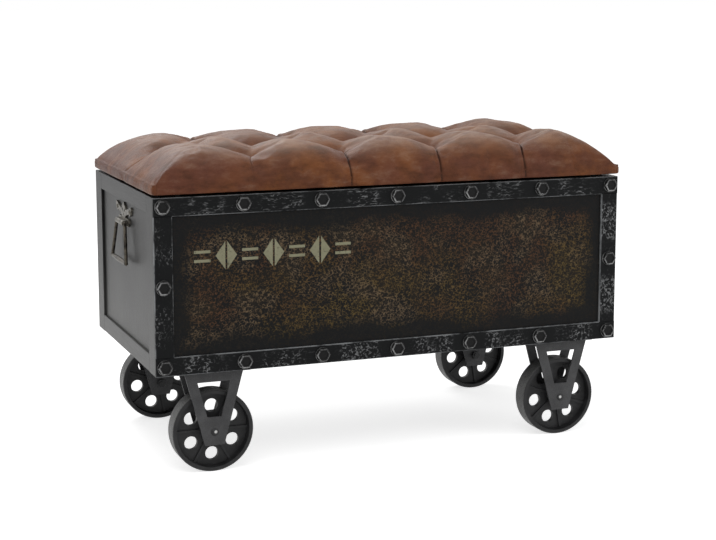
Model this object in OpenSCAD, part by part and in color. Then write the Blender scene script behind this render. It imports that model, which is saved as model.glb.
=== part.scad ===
// Wheeled storage bench: a boarded box with a bolted frame on its front, four cast wheels
// in forks, a drop handle at each end, and a hinged lid with a deep tufted leather cushion.
// Millimetres, +Z up. The front faces -Y, and the origin is on the floor under the middle.

/* [Box] */
// Length of the box over its end frames
box_l = 790; // [660:5:1000]
// Depth of the box, from the front strips to the back board
box_d = 404; // [350:2:480]
// Height of the box
box_h = 274; // [230:2:360]
// Thickness of the end frames, the back and the bottom
board_t = 15; // [13:1:20]
// Thickness of the front board
front_t = 12; // [10:1:16]
// Side of the square battens in the corners
batten_w = 20; // [15:1:30]
// How far the battens stop below the rim
batten_drop = 12; // [5:1:40]

/* [Front strips] */
// Width of the strips that frame the front
strip_w = 29; // [26:1:40]
// Thickness of the strips
strip_t = 4; // [3:0.5:6]
// Bevel along the edges of strips and end frames
bevel = 0.8; // [0.3:0.1:1.5]

/* [Frame bolts] */
// Number of bolts along the top strip, and along the bottom one
bolt_n = 7; // [4:1:9]
// Distance from a bolt's middle to the edge of the front
bolt_inset = 14; // [13:0.5:16]
// Width of the hexagon across its flats
bolt_af = 20; // [16:0.5:22]
// Height of the hexagon
bolt_h = 4.5; // [3:0.5:7]
// Diameter of the round flange under the hexagon
flange_d = 24; // [23:0.5:26]
// Thickness of the flange
flange_t = 1.5; // [1:0.25:2.5]
// Diameter of the round sink in the hexagon's face
sink_d = 13.5; // [8:0.5:14]
// Depth of that sink
sink_t = 0.9; // [0.4:0.1:2]
// Diameter of the bolt's shank
shank_d = 6; // [4:0.5:8]
// How deep the shank goes into the boards
shank_in = 8; // [4:1:9]

/* [End frames] */
// Width of the upright stiles
stile_w = 43; // [35:1:60]
// Width of the top and bottom rails
rail_w = 28; // [20:1:40]
// How far the end panel is set in from the frame's face
set_in = 4; // [3:0.5:8]

/* [Wheels] */
// Diameter of the wheels
wheel_d = 130; // [110:1:150]
// Width of the rim
wheel_w = 30; // [24:1:34]
// Thickness of the rim
rim_t = 6.5; // [5:0.5:9]
// Thickness of the web
web_t = 7; // [5:0.5:12]
// Number of holes in the web
hole_n = 6; // [4:1:6]
// Diameter of the holes
hole_d = 21; // [14:0.5:22]
// Distance from the axle to the middle of a hole
hole_out = 38.5; // [36:0.5:40]
// Width of the ribs between the holes
rib_w = 3.5; // [2.5:0.5:5]
// How far the ribs stand above the web
rib_h = 2.5; // [1:0.5:4]
// Diameter of the hub
hub_d = 26; // [20:1:32]
// Length of the hub
hub_l = 35; // [34:1:38]
// From the end of the box to a wheel's axle
wheel_in = 94; // [80:1:130]
// From the front or back of the box to the middle of a wheel
wheel_deep = 33.5; // [32:0.5:60]

/* [Forks] */
// Height of the box's underside above the axles
fork_drop = 97; // [85:1:115]
// Thickness of the fork's sheet
fork_t = 3; // [2.5:0.5:4]
// Width of a fork's cheek at the top
cheek_w = 95; // [85:1:110]
// Width of a cheek at its foot
foot_w = 31; // [26:1:40]
// How far a cheek reaches below the axle
foot_drop = 21; // [16:1:28]
// Width of a cheek's legs beside its window
leg_w = 16.3; // [13:0.1:20]
// From the box down to the top of the window
window_top = 17; // [12:1:24]
// From the axle up to the bottom of the window
window_up = 24; // [18:1:32]
// How far the seat plate reaches past a cheek at each end
ear_w = 11; // [10:0.5:16]

/* [Axles and screws] */
// Diameter of the axle bolts
axle_d = 8; // [6:0.5:10]
// Diameter of the axle bolts' round head
axle_head_d = 12.5; // [11:0.5:16]
// Height of that head
axle_head_h = 3; // [2:0.5:4]
// Width of the axle nuts across their flats
nut_af = 13; // [12:0.5:17]
// Height of the axle nuts
nut_h = 6; // [4:0.5:8]
// Outer diameter of the washers beside the hubs
washer_d = 18; // [14:1:22]
// Thickness of those washers
washer_t = 1.7; // [1:0.1:2.5]
// Diameter of the screws that hold forks, handles and hinges
screw_d = 3; // [2.5:0.25:3.5]
// Diameter of the fork screws' heads
fork_head_d = 7.5; // [6:0.5:8]

/* [Handles] */
// From the top rail down to the handle's pivot
pivot_drop = 34; // [33:1:60]
// From the end panel out to the pivot
pivot_out = 7.5; // [7:0.5:10]
// Diameter of the bail's pivot pins
pin_d = 4; // [3:0.25:4.5]
// Diameter of the barrel that holds the pins
barrel_d = 9; // [8:0.5:10]
// Length of the barrel
barrel_l = 50; // [30:1:54]
// Thickness of the handle's back plate
plate_t = 3; // [2:0.25:3.5]
// From the middle of the plate to the screws in its wings
wing_out = 42; // [38:1:46]
// Height of those screws above the pivot
wing_up = 20; // [17:1:22]
// Radius of the plate's round crest
crest_r = 14; // [11:0.5:14]
// From the pivot down to the bail's grip
bail_drop = 61; // [50:1:80]
// Length of the grip between the bail's corners
grip_l = 96; // [80:1:104]
// How far the grip leans out past the pivot
bail_lean = 4; // [2:0.5:8]
// Thickness of the bail's arms
arm_d = 5.6; // [4.5:0.1:6]
// Thickness of the grip in the middle
grip_d = 8; // [7:0.25:10]

/* [Hinges] */
// From the end of the box to the middle of a hinge
hinge_in = 145; // [100:5:200]
// Length of a hinge
hinge_l = 60; // [45:1:80]
// Thickness of the leaves
leaf_t = 1.4; // [1:0.1:1.6]
// How far a leaf reaches in over the back board
leaf_w = 13; // [11:0.5:13]
// Diameter of the hinge pin
hinge_pin_d = 2.2; // [1.6:0.1:2.6]

/* [Lid] */
// Gap between the rim of the box and the lid
lid_gap = 5; // [4.5:0.25:7]
// Thickness of the lid board
lid_t = 14; // [12:1:18]
// How far the leather cover stands out past the box
cover_out = 5; // [3:0.5:7]
// Thickness of the cloth lining under the lid
lining_t = 1; // [0.6:0.2:1.4]
// How far the lining stops inside the lid's edge
lining_in = 26; // [24:1:50]
// Diameter of the rubber pads on the rim
pad_d = 9; // [6:0.5:10]
// From the end of the box to a pad
pad_in = 40; // [30:1:80]

/* [Cushion] */
// Height of the cushion's crests above the lid board
crown = 47; // [35:1:60]
// How far in from its ends the cushion rises to full height
end_roll = 90; // [60:1:110]
// How far in from its front and back the cushion rises to full height
roll = 78; // [45:1:85]
// Number of tufts in the middle row, with one less in the rows beside it
tuft_n = 5; // [3:1:6]
// From the middle row of tufts to the rows beside it
tuft_row = 117; // [95:1:125]
// Depth of the folds beside the tufts, as a share of the crown
fold_share = 0.46; // [0.2:0.02:0.5]
// Depth of the pleats from the outer tufts to the edges, as a share of the crown
pleat_share = 0.44; // [0.2:0.02:0.5]
// Further depth of the tufts, as a share of the crown
tuft_share = 0.14; // [0.06:0.02:0.3]
// How far the pleats draw the cushion's sides in
draw_in = 3; // [0:0.5:4]

/* [Hidden] */
$fn = 64;

// Clearances
run_gap = 0.3; // between pieces that move past each other
fit_gap = 0.05; // round pins, shanks and axles

// Box
axle_z = wheel_d / 2;
box_z = axle_z + fork_drop;
rim_z = box_z + box_h;
end_x = box_l / 2;
in_x = end_x - board_t;
front_y = -box_d / 2;
board_y = front_y + strip_t;
in_front_y = board_y + front_t;
back_y = box_d / 2;
in_back_y = back_y - board_t;
floor_z = box_z + board_t;
shank_l = strip_t + shank_in;

// Wheels and forks
wheel_x = end_x - wheel_in;
wheel_y = box_d / 2 - wheel_deep;
fork_in = hub_l / 2 + washer_t + run_gap;
fork_out = fork_in + fork_t;
seat_l = cheek_w + 2 * ear_w;
fork_screw_y = fork_in * 0.6; // from the middle of a fork to its screws
screw_l = board_t * 0.7;
fork_head_h = 2.4;
thread_end = 1.5; // how far an axle bolt stands out of its nut
// Corners of the bench, as signs of X and Y: front left, front right, back left, back right
corners = [[-1, -1], [1, -1], [-1, 1], [1, 1]];
// How far each wheel has rolled, in degrees, in the same order
rolled = [30, 10, 10, 10];

// Handles
panel_t = board_t - set_in;
panel_x = end_x - set_in;
pivot_z = rim_z - rail_w - pivot_drop;
pivot_x = panel_x + pivot_out;
arm_y = barrel_l / 2 + run_gap + arm_d / 2;
pin_in = 7; // how deep a pin sits in the barrel
crest_up = 15; // from the pivot to the middle of the plate's crest
wing_r = 7;
knob_r = 4.8; // knobs above the crest and beside the barrel
handle_head_d = 6.5;
handle_head_h = 1.8;

// Hinges
hinge_x = end_x - hinge_in;
knuckle_r = lid_gap / 2 - run_gap;
hinge_z = rim_z + lid_gap / 2;
hinge_y = back_y + knuckle_r + run_gap;
knuckle_l = hinge_l / 3;
leaf_y = back_y - leaf_w;
leaf_screw_y = leaf_y + leaf_w / 2;
hinge_head_d = 5;
hinge_screw_l = 9;

// Lid
lid_z = rim_z + lid_gap;
board_top = lid_z + lid_t;
pad_y = board_y + front_t / 2;
pad_back_y = back_y - board_t / 2;
// The pads stop below the leather that is turned in under the lid
pad_h = lid_gap - 1;

// Cushion
cover_x = end_x + cover_out;
cover_y = box_d / 2 + cover_out;
skirt_z = lid_z + run_gap;
tuft_dx = box_l / tuft_n;
fold_w = 74; // from a fold's line to the full height of a puff
pleat_w = 70; // the same from a pleat
tuft_w = 60; // the same from a tuft
draw_w = 15; // how wide a pleat draws the cushion's side in
half_cells = 4; // grid cells between a tuft and the next one, half a pitch away
row_cells = 6; // grid cells from one row of tufts to the next
edge_cells = 5; // grid cells from the last tuft to the edge
corner_r = 12; // rounding of the cushion's corners, seen from above

// Bar along X from the origin, its -Y face bevelled along both edges
module bar_x(length, depth, height) {
    rotate([90, 0, 90])
        linear_extrude(length)
            polygon([
                [0, bevel], [bevel, 0], [depth, 0], [depth, height], [bevel, height],
                [0, height - bevel]
            ]);
}

// Upright bar from the origin, its -Y face bevelled along both edges
module bar_z(width, depth, height) {
    linear_extrude(height)
        polygon([
            [0, bevel], [bevel, 0], [width - bevel, 0], [width, bevel], [width, depth],
            [0, depth]
        ]);
}

// Round rod from point a to point b
module rod(a, b, r) {
    v = b - a;
    translate(a)
        rotate([0, acos(v[2] / norm(v)), atan2(v[1], v[0])])
            cylinder(h = norm(v), r = r);
}

// Places its child at a corner of the bench, with its outer side kept outward
module at_wheel(corner) {
    translate([corner[0] * wheel_x, corner[1] * wheel_y, axle_z])
        children();
}

// Makes the right-hand piece from the left-hand one
module on_side(side) {
    mirror([side > 0 ? 1 : 0, 0, 0])
        children();
}

// Front and its bolts
function bolt_x(i) = -end_x + bolt_inset + i * (box_l - 2 * bolt_inset) / (bolt_n - 1);

module at_bolts() {
    for (i = [0 : bolt_n - 1]) {
        translate([bolt_x(i), front_y, box_z + bolt_inset])
            children();
        translate([bolt_x(i), front_y, rim_z - bolt_inset])
            children();
    }
    for (side = [-1, 1])
        translate([side * (end_x - bolt_inset), front_y, box_z + box_h / 2])
            children();
}

module bolt_holes() {
    at_bolts()
        rotate([-90, 0, 0])
            translate([0, 0, -1])
                cylinder(h = shank_l + 2, d = shank_d + 2 * fit_gap, $fn = 32);
}

// Hexagon with its upper corners turned off and a round sink in its face
module hex_head() {
    face_r = bolt_af * 0.485;
    corner_h = bolt_h * 0.65;
    difference() {
        intersection() {
            cylinder(h = bolt_h, d = bolt_af / cos(30), $fn = 6);
            rotate_extrude()
                polygon([
                    [0, 0], [bolt_af * 0.6, 0], [bolt_af * 0.6, corner_h],
                    [face_r, bolt_h], [0, bolt_h]
                ]);
        }
        translate([0, 0, bolt_h - sink_t])
            cylinder(h = sink_t + 1, d = sink_d);
    }
}

module frame_bolts() {
    color([0.16, 0.16, 0.17])
        at_bolts()
            rotate([90, 0, 0]) {
                cylinder(h = flange_t, d = flange_d);
                translate([0, 0, flange_t])
                    hex_head();
                translate([0, 0, -shank_l])
                    cylinder(h = shank_l + flange_t, d = shank_d, $fn = 32);
            }
}

module front_panel() {
    color([0.21, 0.15, 0.08])
        difference() {
            translate([-in_x, board_y, box_z])
                cube([2 * in_x, front_t, box_h]);
            bolt_holes();
        }
}

module front_rail_strip(z) {
    color([0.08, 0.08, 0.085])
        difference() {
            translate([-end_x, front_y, z])
                bar_x(box_l, strip_t, strip_w);
            bolt_holes();
        }
}

module front_top_strip() {
    front_rail_strip(rim_z - strip_w);
}

module front_bottom_strip() {
    front_rail_strip(box_z);
}

module front_upright_strip(x) {
    color([0.08, 0.08, 0.085])
        difference() {
            translate([x, front_y, box_z + strip_w])
                bar_z(strip_w, strip_t, box_h - 2 * strip_w);
            bolt_holes();
        }
}

module front_left_strip() {
    front_upright_strip(-end_x);
}

module front_right_strip() {
    front_upright_strip(end_x - strip_w);
}

// Back and bottom
module back_panel() {
    color([0.2, 0.2, 0.21])
        difference() {
            translate([-in_x, in_back_y, box_z])
                cube([2 * in_x, board_t, box_h]);
            at_hinge_screws()
                translate([0, 0, rim_z - hinge_screw_l])
                    cylinder(h = hinge_screw_l + 1, d = screw_d + 2 * fit_gap, $fn = 24);
        }
}

module bottom_board() {
    color([0.1, 0.1, 0.1])
        difference() {
            translate([-in_x, in_front_y, box_z])
                cube([2 * in_x, in_back_y - in_front_y, board_t]);
            at_fork_screws()
                translate([0, 0, box_z - 1])
                    cylinder(h = screw_l + 1, d = screw_d + 2 * fit_gap, $fn = 24);
        }
}

module batten(corner) {
    x = corner[0] < 0 ? -in_x : in_x - batten_w;
    y = corner[1] < 0 ? in_front_y : in_back_y - batten_w;
    color([0.62, 0.47, 0.3])
        translate([x, y, floor_z])
            cube([batten_w, batten_w, rim_z - batten_drop - floor_z]);
}

// End frames and panels, drawn for the left and mirrored for the right
module stile(side, y0, y1) {
    color([0.27, 0.27, 0.28])
        difference() {
            on_side(side)
                translate([-end_x, y1, box_z])
                    rotate([0, 0, -90])
                        bar_z(y1 - y0, board_t, box_h);
            bolt_holes();
        }
}

module front_stile(side) {
    stile(side, board_y, front_y + stile_w);
}

module back_stile(side) {
    stile(side, back_y - stile_w, back_y);
}

module end_rail(side, z) {
    color([0.27, 0.27, 0.28])
        on_side(side)
            translate([-end_x, back_y - stile_w, z])
                rotate([0, 0, -90])
                    bar_x(box_d - 2 * stile_w, board_t, rail_w);
}

module end_panel(side) {
    color([0.3, 0.3, 0.31])
        on_side(side)
            difference() {
                translate([-panel_x, front_y + stile_w, box_z + rail_w])
                    cube([panel_t, box_d - 2 * stile_w, box_h - 2 * rail_w]);
                at_handle_screws()
                    translate([0, 0, -panel_t])
                        cylinder(h = panel_t + 1, d = screw_d + 2 * fit_gap, $fn = 24);
            }
}

// Wheels, drawn along Z and turned onto the axle
module wheel(k) {
    r = wheel_d / 2;
    rim_r = r - rim_t;
    edge = 1.5; // bevel on the tread's edges
    draft = 1.5; // taper of the rim's inner wall
    color([0.1, 0.1, 0.105])
        at_wheel(corners[k])
            rotate([0, -rolled[k], 0])
                rotate([90, 0, 0])
                    difference() {
                        union() {
                            rotate_extrude($fn = 128)
                                polygon([
                                    [0, -web_t / 2], [rim_r - draft, -web_t / 2],
                                    [rim_r, -wheel_w / 2], [r - edge, -wheel_w / 2],
                                    [r, edge - wheel_w / 2], [r, wheel_w / 2 - edge],
                                    [r - edge, wheel_w / 2], [rim_r, wheel_w / 2],
                                    [rim_r - draft, web_t / 2], [0, web_t / 2]
                                ]);
                            cylinder(h = hub_l, d = hub_d, center = true);
                            for (i = [0 : hole_n - 1])
                                rotate([0, 0, (i + 0.5) * 360 / hole_n])
                                    translate([rim_r / 2, 0, 0])
                                        cube([rim_r, rib_w, web_t + 2 * rib_h], center = true);
                        }
                        cylinder(h = hub_l + 2, d = axle_d + 2 * fit_gap, center = true);
                        for (i = [0 : hole_n - 1])
                            rotate([0, 0, i * 360 / hole_n])
                                translate([hole_out, 0, 0])
                                    cylinder(h = web_t + 2 * rib_h + 2, d = hole_d, center = true);
                    }
}

// Forks: a seat plate under the box and two pierced cheeks
function cheek_half(z) = foot_w / 2 + (cheek_w - foot_w) / 2 * (z + foot_drop) / (fork_drop + foot_drop);

module cheek() {
    top = fork_drop - window_top;
    rotate([90, 0, 0])
        linear_extrude(fork_t)
            difference() {
                polygon([
                    [-foot_w / 2, -foot_drop], [foot_w / 2, -foot_drop],
                    [cheek_w / 2, fork_drop], [-cheek_w / 2, fork_drop]
                ]);
                polygon([
                    [leg_w - cheek_half(window_up), window_up],
                    [cheek_half(window_up) - leg_w, window_up],
                    [cheek_half(top) - leg_w, top], [leg_w - cheek_half(top), top]
                ]);
                circle(d = axle_d + 2 * fit_gap);
            }
}

module at_fork_screws() {
    for (corner = corners)
        for (sx = [-1, 1])
            for (sy = [-1, 1])
                translate([
                    corner[0] * wheel_x + sx * (seat_l - ear_w) / 2,
                    corner[1] * wheel_y + sy * fork_screw_y, 0
                ])
                    children();
}

module fork(k) {
    color([0.22, 0.22, 0.23])
        difference() {
            at_wheel(corners[k]) {
                translate([-seat_l / 2, -fork_out, fork_drop - fork_t])
                    cube([seat_l, 2 * fork_out, fork_t]);
                translate([0, -fork_in, 0])
                    cheek();
                translate([0, fork_out, 0])
                    cheek();
            }
            at_fork_screws()
                translate([0, 0, box_z - fork_t - 1])
                    cylinder(h = fork_t + 2, d = screw_d + 2 * fit_gap, $fn = 24);
        }
}

module fork_screws() {
    color([0.2, 0.2, 0.2])
        at_fork_screws()
            translate([0, 0, box_z - fork_t]) {
                cylinder(h = fork_t + screw_l - 1, d = screw_d, $fn = 24);
                intersection() {
                    translate([0, 0, -fork_head_h])
                        cylinder(h = fork_head_h, d = fork_head_d);
                    translate([0, 0, fork_head_d * 0.8 - fork_head_h])
                        sphere(d = fork_head_d * 1.6);
                }
            }
}

// Axle bolts have their round heads on the side that faces away from the bench
module axle_bolts() {
    color([0.3, 0.3, 0.31])
        for (corner = corners)
            at_wheel(corner)
                rotate([corner[1] < 0 ? 90 : -90, 0, 0]) {
                    translate([0, 0, -fork_out - nut_h - thread_end])
                        cylinder(h = 2 * fork_out + nut_h + thread_end, d = axle_d);
                    translate([0, 0, fork_out])
                        difference() {
                            intersection() {
                                cylinder(h = axle_head_h, d = axle_head_d);
                                translate([0, 0, axle_head_h - axle_head_d * 0.75])
                                    sphere(d = axle_head_d * 1.5);
                            }
                            translate([0, 0, axle_head_h - 0.8])
                                cylinder(h = 1, d = axle_head_d * 0.36, $fn = 32);
                        }
                }
}

module axle_nuts() {
    color([0.3, 0.3, 0.31])
        for (corner = corners)
            at_wheel(corner)
                rotate([corner[1] < 0 ? -90 : 90, 0, 0])
                    translate([0, 0, fork_out])
                        difference() {
                            cylinder(h = nut_h, d = nut_af / cos(30), $fn = 6);
                            translate([0, 0, -1])
                                cylinder(h = nut_h + 2, d = axle_d + 2 * fit_gap);
                        }
}

module hub_washers() {
    color([0.3, 0.3, 0.31])
        for (corner = corners)
            at_wheel(corner)
                for (side = [-1, 1])
                    rotate([side * 90, 0, 0])
                        translate([0, 0, fork_in - washer_t])
                            difference() {
                                cylinder(h = washer_t, d = washer_d);
                                translate([0, 0, -1])
                                    cylinder(h = washer_t + 2, d = axle_d + 2 * fit_gap);
                            }
}

// Handles, drawn for the left end: the plate's outline has its origin at the pivot
module at_left_handle() {
    translate([-panel_x, 0, pivot_z])
        rotate([90, 0, -90])
            children();
}

module at_handle_screws() {
    at_left_handle()
        for (side = [-1, 1])
            translate([side * wing_out, wing_up, 0])
                children();
}

// A round crest over the barrel, and a wing with a curled tip at each side
module plate_outline() {
    translate([0, crest_up])
        circle(r = crest_r);
    translate([0, crest_up + crest_r - 2])
        circle(r = knob_r, $fn = 32);
    translate([-barrel_l / 2 - 3, -barrel_d / 2 - 1])
        square([barrel_l + 6, barrel_d / 2 + 1 + crest_up / 2]);
    for (side = [-1, 1]) {
        translate([side * wing_out, wing_up])
            circle(r = wing_r, $fn = 48);
        translate([side * (wing_out + wing_r - 1), wing_up + wing_r - 2])
            circle(r = wing_r / 2, $fn = 32);
        translate([side * (barrel_l / 2 + 5), 3])
            circle(r = knob_r, $fn = 32);
        translate([side * wing_out / 2, wing_up - 3])
            rotate([0, 0, side * 12])
                square([wing_out, 9], center = true);
    }
}

module handle_plate(side) {
    color([0.3, 0.28, 0.25])
        on_side(side)
            difference() {
                union() {
                    at_left_handle()
                        linear_extrude(plate_t)
                            difference() {
                                plate_outline();
                                for (s = [-1, 1]) {
                                    translate([s * wing_out, wing_up])
                                        circle(d = screw_d + 2 * fit_gap, $fn = 24);
                                    translate([s * crest_r / 2, crest_up + 4])
                                        circle(r = 2.6, $fn = 24);
                                }
                                translate([0, crest_up - 3])
                                    circle(r = 2, $fn = 24);
                            }
                    at_left_handle()
                        translate([-barrel_l / 2, -barrel_d / 2, 0])
                            cube([barrel_l, barrel_d, pivot_out]);
                    translate([-pivot_x, 0, pivot_z])
                        rotate([90, 0, 0])
                            cylinder(h = barrel_l, d = barrel_d, center = true);
                }
                translate([-pivot_x, 0, pivot_z])
                    rotate([90, 0, 0])
                        cylinder(h = barrel_l + 2, d = pin_d + 2 * fit_gap, center = true);
            }
}

module handle_screws() {
    color([0.25, 0.23, 0.2])
        for (side = [-1, 1])
            on_side(side)
                at_handle_screws() {
                    translate([0, 0, 1 - panel_t])
                        cylinder(h = panel_t + plate_t - 1, d = screw_d, $fn = 24);
                    translate([0, 0, plate_t])
                        intersection() {
                            cylinder(h = handle_head_h, d = handle_head_d);
                            translate([0, 0, handle_head_h - handle_head_d * 0.8])
                                sphere(d = handle_head_d * 1.6);
                        }
                }
}

module bail(side) {
    grip_x = -pivot_x - bail_lean;
    grip_z = pivot_z - bail_drop;
    half = grip_l / 2;
    color([0.34, 0.3, 0.25])
        on_side(side) {
            for (s = [-1, 1]) {
                shoulder = [-pivot_x, s * arm_y, pivot_z];
                corner = [grip_x, s * half, grip_z];
                rod([-pivot_x, s * (barrel_l / 2 - pin_in), pivot_z], shoulder, pin_d / 2);
                rod(shoulder, corner, arm_d / 2);
                translate(shoulder)
                    sphere(d = arm_d + 0.6);
                translate(corner)
                    sphere(d = arm_d + 1.2);
            }
            translate([grip_x, 0, grip_z])
                rotate([90, 0, 0])
                    rotate_extrude()
                        polygon(concat([[0, -half]],
                            [for (i = [-6 : 6]) [
                                arm_d / 2 + (grip_d - arm_d) / 2 * cos(i * 15), i * half / 6
                            ]],
                            [[0, half]]));
        }
}

// Hinges: the pin lies behind the back board, half way up the gap under the lid
module at_hinge_screws() {
    for (side = [-1, 1])
        for (i = [-1 : 1])
            translate([side * hinge_x + i * knuckle_l, leaf_screw_y, 0])
                children();
}

module knuckle(x, length) {
    translate([x, hinge_y, hinge_z])
        rotate([0, 90, 0])
            cylinder(h = length, r = knuckle_r, $fn = 48);
}

module knuckle_bore(x) {
    translate([x, hinge_y, hinge_z])
        rotate([0, 90, 0])
            cylinder(h = hinge_l + 2, d = hinge_pin_d + 2 * fit_gap, center = true, $fn = 48);
}

// Flat part of a leaf, with a tongue to the knuckle from x0 to x1
module leaf_plate(x, z, x0, x1) {
    translate([x - hinge_l / 2, leaf_y, z])
        cube([hinge_l, leaf_w - run_gap, leaf_t]);
    translate([x + x0, leaf_y, z])
        cube([x1 - x0, hinge_y - leaf_y, leaf_t]);
}

module box_leaf(side) {
    x = side * hinge_x;
    h = hinge_l / 2;
    k = knuckle_l / 2 + run_gap;
    color([0.55, 0.55, 0.56])
        difference() {
            union() {
                leaf_plate(x, rim_z, -h, -k);
                leaf_plate(x, rim_z, k, h);
                knuckle(x - h, h - k);
                knuckle(x + k, h - k);
            }
            knuckle_bore(x);
            at_hinge_screws()
                translate([0, 0, rim_z - 1])
                    cylinder(h = leaf_t + 2, d = screw_d + 2 * fit_gap, $fn = 24);
            at_hinge_screws()
                translate([0, 0, rim_z + leaf_t])
                    mirror([0, 0, 1])
                        head_cone(fit_gap);
        }
}

module lid_leaf(side) {
    x = side * hinge_x;
    k = knuckle_l / 2;
    color([0.55, 0.55, 0.56])
        difference() {
            union() {
                leaf_plate(x, lid_z - leaf_t, -k, k);
                knuckle(x - k, knuckle_l);
            }
            knuckle_bore(x);
            at_hinge_screws()
                translate([0, 0, lid_z - leaf_t - 1])
                    cylinder(h = leaf_t + 2, d = screw_d + 2 * fit_gap, $fn = 24);
            at_hinge_screws()
                translate([0, 0, lid_z - leaf_t])
                    head_cone(fit_gap);
        }
}

// Sunk screw head, its wide end at the origin and its point along +Z
module head_cone(gap) {
    cylinder(h = 1, d1 = hinge_head_d + 2 * gap, d2 = screw_d + 2 * gap, $fn = 32);
}

module hinge_pins() {
    color([0.6, 0.6, 0.61])
        for (side = [-1, 1])
            translate([side * hinge_x, hinge_y, hinge_z])
                rotate([0, 90, 0]) {
                    cylinder(h = hinge_l + 1, d = hinge_pin_d, center = true, $fn = 32);
                    for (s = [-1, 1])
                        translate([0, 0, s * (hinge_l / 2 + 0.5)])
                            cylinder(h = 1, r = knuckle_r - 0.4, center = true, $fn = 32);
                }
}

module hinge_box_screws() {
    color([0.6, 0.6, 0.61])
        at_hinge_screws()
            translate([0, 0, rim_z + leaf_t])
                mirror([0, 0, 1]) {
                    head_cone(0);
                    cylinder(h = hinge_screw_l, d = screw_d, $fn = 24);
                }
}

module hinge_lid_screws() {
    color([0.6, 0.6, 0.61])
        at_hinge_screws()
            translate([0, 0, lid_z - leaf_t]) {
                head_cone(0);
                cylinder(h = hinge_screw_l, d = screw_d, $fn = 24);
            }
}

// Pads on the rim, on which the closed lid comes to rest
module rim_pads() {
    color([0.05, 0.05, 0.05])
        for (side = [-1, 1])
            for (y = [pad_y, pad_back_y])
                translate([side * (end_x - pad_in), y, rim_z])
                    cylinder(h = pad_h, d = pad_d, $fn = 32);
}

// Lid
module lid_board() {
    color([0.55, 0.42, 0.28])
        difference() {
            translate([-end_x, front_y, lid_z])
                cube([box_l, box_d, lid_t]);
            at_hinge_screws()
                translate([0, 0, lid_z - 1])
                    cylinder(h = hinge_screw_l + 1, d = screw_d + 2 * fit_gap, $fn = 24);
        }
}

module lid_lining() {
    color([0.06, 0.06, 0.06])
        translate([lining_in - end_x, front_y + lining_in, lid_z - lining_t])
            cube([box_l - 2 * lining_in, box_d - 2 * lining_in, lining_t]);
}

// Cushion: tufts stand in three staggered rows and are joined by slanting folds.
// Straight pleats run from the outer tufts to the edges.
function tuft_x(row, i) = (i - (tuft_n - 1) / 2) * tuft_dx + (row == 0 ? 0 : tuft_dx / 2);
function row_tufts(row) = tuft_n - (row == 0 ? 0 : 1);
tufts = [
    for (row = [-1 : 1])
        for (i = [0 : row_tufts(row) - 1])
            [tuft_x(row, i), row * tuft_row]
];
folds = [
    for (row = [-1, 1])
        for (i = [0 : tuft_n - 2])
            for (j = [i, i + 1])
                [[tuft_x(row, i), row * tuft_row], [tuft_x(0, j), 0]]
];
pleats = concat(
    [
        for (row = [-1, 1])
            for (i = [0 : tuft_n - 2])
                [[tuft_x(row, i), row * tuft_row], [tuft_x(row, i), row * cover_y]]
    ],
    [
        for (side = [-1, 1])
            [[side * tuft_x(0, tuft_n - 1), 0], [side * cover_x, 0]]
    ]
);

function clamp(v, low, high) = min(max(v, low), high);
function along(p, f) =
    let (run = f[1] - f[0])
        clamp((p - f[0]) * run / (run * run), 0, 1);
function to_fold(p, f) = norm(p - f[0] - along(p, f) * (f[1] - f[0]));
// Rounded like the side of a pillow: 1 on the line, and 0 at the distance w
function dip(d, w) = pow(clamp(1 - d / w, 0, 1), 2);
// Folds are shallower half way between tufts
function fold_at(p) = max([
    for (f = folds)
        dip(to_fold(p, f), fold_w) * (0.57 + 0.43 * pow(abs(2 * along(p, f) - 1), 1.5))
]);
function pleat_at(p) = max([for (f = pleats) dip(to_fold(p, f), pleat_w)]);
function drawn_at(p) = max([for (f = pleats) dip(to_fold(p, f), draw_w)]);
function tuft_at(p) = max([for (t = tufts) dip(norm(p - t), tuft_w)]);
// The tufts behind the middle are pulled in less
function pull(p) = 1 - 0.45 * clamp((p[1] - 30) / 70, 0, 1);
function inset_x(p) = clamp((cover_x - abs(p[0])) / end_roll, 0, 1);
function inset_y(p) = clamp((cover_y - abs(p[1])) / roll, 0, 1);
// The ends rise more evenly than the front and back, and both blend at the corners
function edge_at(p) =
    let (
        a = max(sin(90 * pow(inset_x(p), 1.05)), 0.001),
        b = max(sin(90 * pow(inset_y(p), 0.72)), 0.001)
    )
        min(pow(2 / (pow(a, -5) + pow(b, -5)), 1 / 5), 1);
function seat_z(p) =
    let (line = max(fold_share * fold_at(p), pleat_share * pleat_at(p)))
        board_top + 1 + crown * edge_at(p) * (1 - pull(p) * (line + tuft_share * tuft_at(p)));

// Grid lines meet every tuft, and crowd together towards the edge
function line_up(last, pitch, n, edge) = concat(
    [for (k = [0 : n]) k * pitch],
    [for (k = [edge_cells - 1 : -1 : 0]) edge - (edge - last) * pow(k / edge_cells, 2)]
);
function both_ways(half) = concat([for (i = [len(half) - 1 : -1 : 1]) -half[i]], half);

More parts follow.
